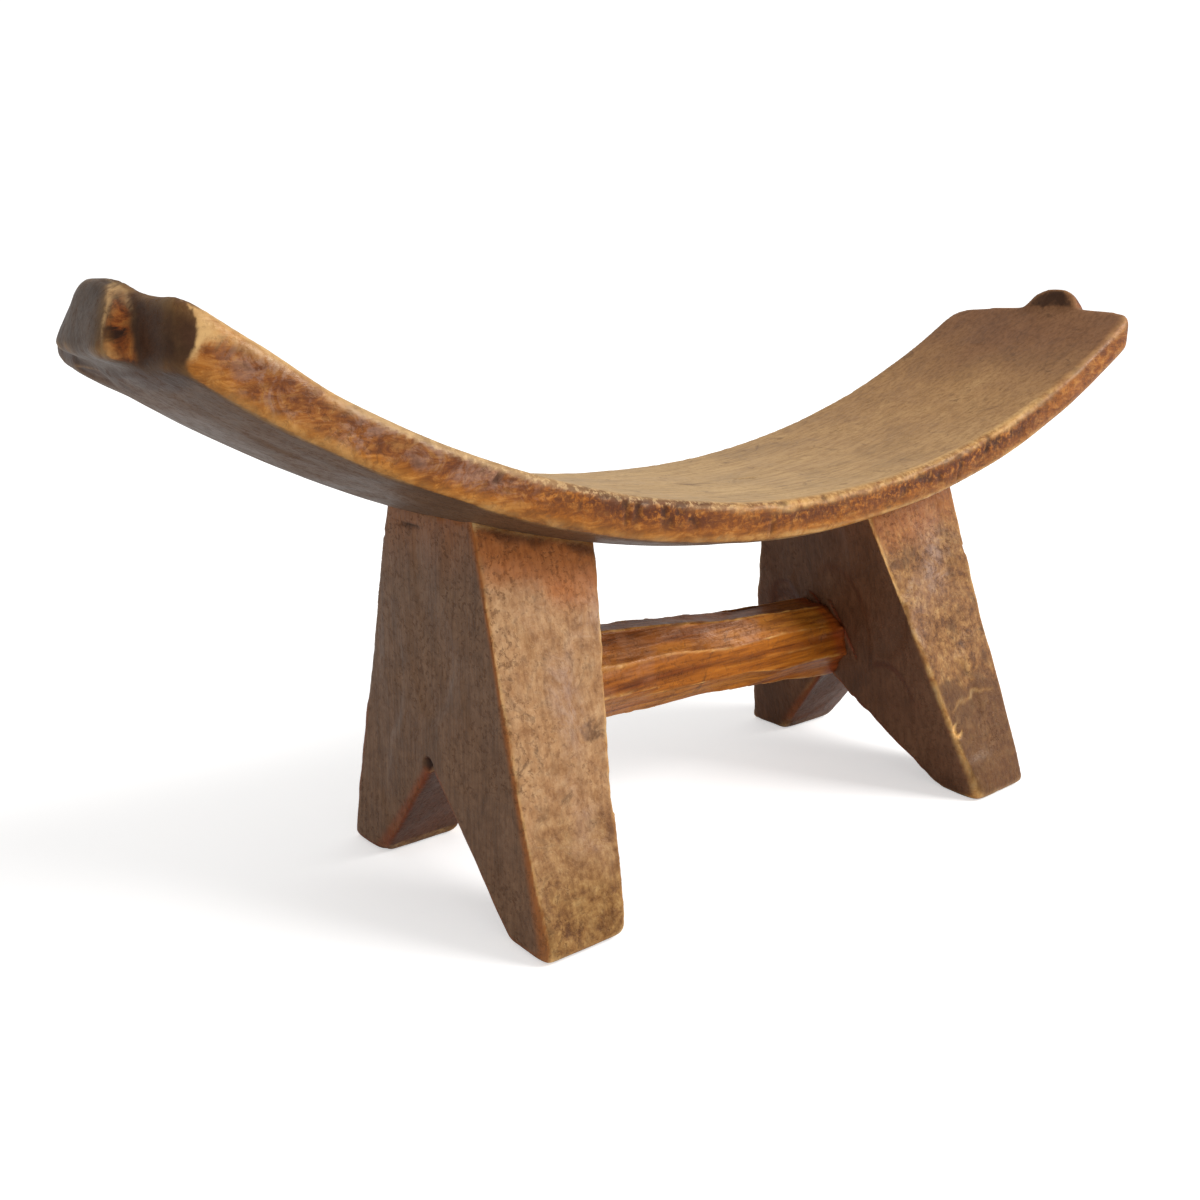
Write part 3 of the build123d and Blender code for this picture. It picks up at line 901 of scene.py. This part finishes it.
def top_colour(wood, figure):
    """The plate's top: tan, with a painted highlight that makes it palest in the middle, and brown towards
    the right end.
    """
    top = wood.ramp(figure, [(140, 100, 58), (168, 126, 80), (186, 146, 98)])
    # Paler colours for the middle of the top: a painted highlight.
    middle = wood.ramp(figure, [(164, 132, 88), (190, 156, 110), (204, 172, 126)])
    end_top = wood.ramp(figure, [(104, 68, 42), (134, 92, 60), (150, 108, 74)])
    top = wood.mix(wood.mask("middle"), top, middle)
    return wood.mix(wood.mask("far_end"), top, end_top)


def lug_colour(wood, figure, grime):
    """The lugs: dark end grain, and red-brown sides."""
    side = wood.ramp(grime, [(48, 20, 8), (132, 66, 20), (172, 106, 46)], 0.40, 0.60)
    end = wood.ramp(figure, [(56, 40, 29), (84, 64, 48), (104, 82, 64)])
    return wood.mix(wood.mask("lug_side"), end, side)


def plate_material():
    """Tan polished top, orange-brown edge band, dark ends and a grey-brown underside."""
    wood = Wood("plate_wood_polished")
    parts = wood_figure(wood, 0)
    figure, grime = parts["figure"], parts["grime"]
    under = wood.ramp(figure, [(72, 50, 34), (96, 70, 50), (114, 86, 64)])
    tip = wood.ramp(figure, [(44, 24, 12), (66, 40, 24), (90, 62, 44)])
    colour = wood.mix(wood.blurred("band", grime, 0.3), under, band_colour(wood, figure, grime))
    colour = wood.mix(wood.mask("top"), colour, top_colour(wood, figure))
    colour = wood.mix(wood.blurred("pale", grime, 0.7), colour, srgb(198, 158, 104))
    colour = wood.mix(wood.blurred("tip", grime, 0.6), colour, tip)
    colour = wood.mix(wood.mask("lug"), colour, lug_colour(wood, figure, grime))
    # Painted highlight along the left lug's arris.
    colour = wood.mix(wood.mask("lug_line"), colour, srgb(214, 172, 118))
    crowd = wood.math("MULTIPLY", wood.mask("crowd"), wood.between(parts["stipple"], 0.40, 0.53, 0.0, 0.92))
    colour = wood.mix(crowd, colour, srgb(88, 39, 13))
    gold = [(150, 98, 50), (196, 148, 86), (216, 174, 114)]
    speckle = wood.between(wood.mask("top"), 0.0, 1.0, 0.48, 0.18)
    dull = wood.between(wood.mask("top"), 0.0, 1.0, 0.0, 0.14)
    return aged_finish(wood, parts, colour, wood.mask("pits", 0.7), gold, speckle, 0.15 * MM, dull=dull)


def front_colour(wood, figure, grime, flecks):
    """The trestles' fronts: tan on the left one, tawny on the right one, golden at the feet, with a painted
    sheen where glossy.
    """
    front = wood.ramp(figure, [(130, 84, 48), (166, 122, 80), (186, 148, 106)])
    mottled = wood.ramp(flecks, [(114, 72, 40), (154, 112, 74), (180, 140, 100), (198, 162, 122)], 0.36, 0.64)
    tawny = wood.ramp(flecks, [(86, 52, 28), (128, 84, 44), (158, 114, 66), (188, 146, 92)], 0.38, 0.64)
    golden = wood.ramp(flecks, [(84, 48, 20), (122, 82, 42), (150, 110, 62), (172, 134, 82)], 0.38, 0.62)
    front = wood.mix(0.6, front, mottled)
    front = wood.mix(wood.mask("tawny"), front, tawny)
    front = wood.mix(wood.mask("gold"), front, golden)
    dim = wood.math("MULTIPLY", wood.blurred("dim", grime, 0.9), 0.75)
    front = wood.mix(dim, front, srgb(88, 54, 30))
    # Painted sheen: a lilac-grey reflection mixed into the front's colour where it is glossy.
    return wood.mix(wood.sheen(grime, 0.4, 0.6, 0.1, 0.55), front, srgb(166, 140, 130))


def trestle_material():
    """Grey-brown hewn sides, inner faces darkened partly by painted shade, a warmer mottled front, and
    red-brown seats and cuts.
    """
    wood = Wood("trestle_wood_hewn")
    parts = wood_figure(wood, 2)
    figure, grime = parts["figure"], parts["grime"]
    flecks = wood.noise((240.0, 240.0, 260.0), 6.0, 0.72, 0.1, offset=23.0)
    flecks = wood.math("ADD", wood.math("MULTIPLY", flecks, 0.6), wood.math("MULTIPLY", grime, 0.4))
    flecked = wood.ramp(flecks, [(74, 52, 38), (116, 86, 64), (146, 116, 92)], 0.38, 0.62)
    # Darker colours for the inner faces: partly the wood's own tone, partly painted shade.
    inner = wood.ramp(figure, [(72, 45, 29), (106, 71, 49), (128, 94, 69)])
    notch = wood.ramp(figure, [(70, 40, 26), (112, 66, 42)])
    colour = wood.ramp(figure, [(92, 63, 42), (122, 89, 64), (140, 106, 78)])
    colour = wood.mix(0.35, colour, flecked)
    colour = wood.mix(wood.mask("inner"), colour, inner)
    front = front_colour(wood, figure, grime, flecks)
    colour = wood.mix(wood.blurred("front", grime, 0.15), colour, front)
    colour = wood.mix(wood.blurred("notch", grime, 0.3), colour, notch)
    warmth = wood.math("ADD", wood.mask("front"), 0.35, clamp=True)
    seat = wood.math("MULTIPLY", wood.mask("seat"), warmth)
    colour = wood.mix(wood.between(seat, 0.0, 0.8, 0.0, 0.75), colour, srgb(190, 108, 48))
    colour = wood.mix(wood.between(seat, 0.93, 1.0, 0.0, 0.75), colour, srgb(56, 24, 12))
    colour = wood.mix(wood.mask("cut", 0.6), colour, srgb(150, 62, 32))
    colour = wood.mix(wood.mask("rim", 0.8), colour, srgb(158, 88, 34))
    colour = wood.mix(wood.mask("scorched", 0.7), colour, srgb(136, 62, 32))
    gold = [(176, 116, 58), (216, 164, 96), (230, 190, 130)]
    return aged_finish(wood, parts, colour, wood.mask("pits"), gold, 0.5)


def stretcher_material():
    """Honey-coloured timber with long streaks, light facet arrises and a painted sheen on its front and upper
    facets.
    """
    wood = Wood("stretcher_wood_hewn")
    parts = wood_figure(wood, 0)
    figure, grime = parts["figure"], parts["grime"]
    colour = wood.ramp(parts["bands"], [(128, 62, 10), (178, 102, 24), (198, 128, 46)], 0.32, 0.66)
    upper = wood.ramp(figure, [(112, 58, 16), (152, 86, 28), (176, 110, 44)])
    colour = wood.mix(wood.mask("upper"), colour, upper)
    colour = wood.mix(wood.mask("dim", 0.4), colour, srgb(104, 50, 18))
    # Painted sheen: a pinkish reflection mixed into the stretcher's colour where it is glossy.
    colour = wood.mix(wood.sheen(grime, 0.36, 0.56, 0.15, 0.6), colour, srgb(174, 118, 82))
    joint = wood.mask("joint")
    colour = wood.mix(wood.between(joint, 0.0, 0.7, 0.0, 0.65), colour, srgb(150, 58, 20))
    colour = wood.mix(wood.between(joint, 0.86, 1.0, 0.0, 0.85), colour, srgb(62, 22, 10))
    gold = [(190, 122, 52), (220, 160, 84), (236, 188, 116)]
    return aged_finish(wood, parts, colour, 0.0, gold, 0.32, streaky=0.55)


# ---------------------------------------------------------------- the stage


def add_floor():
    """A plain pale floor that turns white for the camera, most of all far from the object."""
    mesh = bpy.data.meshes.new("floor")
    corners = [(-1, -1), (1, -1), (1, 1), (-1, 1)]
    mesh.from_pydata([(FLOOR_REACH * x, FLOOR_REACH * y, 0) for x, y in corners], [], [(0, 1, 2, 3)])
    floor = bpy.data.objects.new("floor", mesh)
    bpy.context.scene.collection.objects.link(floor)
    material = bpy.data.materials.new("pale_floor")
    mesh.materials.append(material)
    nodes = Nodes(material)
    place = nodes.add("ShaderNodeTexCoord").outputs["Object"]
    distance = nodes.add("ShaderNodeVectorMath", {0: place}, operation="LENGTH").outputs["Value"]
    lift = nodes.between(distance, FAR_FROM, FAR_TO, FLOOR_LIFT, FLOOR_LIFT + FAR_LIFT, "LINEAR")
    seen = nodes.add("ShaderNodeLightPath").outputs["Is Camera Ray"]
    glow = nodes.add("ShaderNodeEmission", {"Color": WHITE, "Strength": nodes.math("MULTIPLY", seen, lift)})
    diffuse = nodes.add("ShaderNodeBsdfDiffuse", {"Color": FLOOR_COLOUR})
    total = nodes.add("ShaderNodeAddShader", {0: diffuse.outputs["BSDF"], 1: glow.outputs["Emission"]})
    nodes.add("ShaderNodeOutputMaterial", {"Surface": total.outputs["Shader"]})


def add_sky():
    """Even white surroundings, brighter where the camera sees them."""
    world = bpy.data.worlds.new("studio")
    bpy.context.scene.world = world
    nodes = Nodes(world)
    soft = nodes.add("ShaderNodeBackground", {"Color": WHITE, "Strength": SKY_STRENGTH})
    seen = nodes.add("ShaderNodeBackground", {"Color": WHITE, "Strength": SKY_SEEN_STRENGTH})
    camera_ray = nodes.add("ShaderNodeLightPath").outputs["Is Camera Ray"]
    inputs = {"Fac": camera_ray, 1: soft.outputs["Background"], 2: seen.outputs["Background"]}
    pick = nodes.add("ShaderNodeMixShader", inputs)
    nodes.add("ShaderNodeOutputWorld", {"Surface": pick.outputs["Shader"]})


def add_key_light():
    """A large square softbox on the front right, turned towards the object."""
    lamp = bpy.data.lights.new("key", "AREA")
    lamp.shape = "SQUARE"
    lamp.size = KEY_SIZE
    lamp.energy = KEY_WATTS
    light = bpy.data.objects.new("key", lamp)
    bpy.context.scene.collection.objects.link(light)
    light.location = KEY_PLACE
    light.rotation_mode = "QUATERNION"
    light.rotation_quaternion = (Vector(KEY_AIM) - Vector(KEY_PLACE)).to_track_quat("-Z", "Y")


def add_camera():
    """The camera, at the viewing angle of a product picture from the front left."""
    sin_yaw, cos_yaw = math.sin(CAMERA_YAW), math.cos(CAMERA_YAW)
    sin_pitch, cos_pitch = math.sin(CAMERA_PITCH), math.cos(CAMERA_PITCH)
    forward = Vector((-sin_yaw * cos_pitch, cos_yaw * cos_pitch, -sin_pitch))
    level = Vector((cos_yaw, sin_yaw, 0.0))
    upright = level.cross(forward)
    right = level * math.cos(CAMERA_ROLL) + upright * math.sin(CAMERA_ROLL)
    up = upright * math.cos(CAMERA_ROLL) - level * math.sin(CAMERA_ROLL)
    lens = bpy.data.cameras.new("camera")
    lens.sensor_width = CAMERA_SENSOR
    lens.lens = CAMERA_LENS
    lens.shift_x, lens.shift_y = CAMERA_SHIFT
    lens.clip_start = CAMERA_NEAREST
    camera = bpy.data.objects.new("camera", lens)
    bpy.context.scene.collection.objects.link(camera)
    axes = Matrix((right, up, -forward)).transposed().to_4x4()
    camera.matrix_world = Matrix.Translation(CAMERA_PLACE) @ axes
    bpy.context.scene.camera = camera


settle(carve_plate(), "rest_plate", plate_material())
trestle_wood = trestle_material()
left_trestle = carve_trestle("left_trestle", "left_trestle_hewn", 101, -1)
settle(left_trestle, "left_trestle", trestle_wood)
right_trestle = carve_trestle("right_trestle", "right_trestle_hewn", 201, 1)
settle(right_trestle, "right_trestle", trestle_wood)
settle(carve_stretcher(), "stretcher", stretcher_material())

add_floor()
add_sky()
add_key_light()
add_camera()
bpy.context.scene.view_settings.view_transform = "Standard"
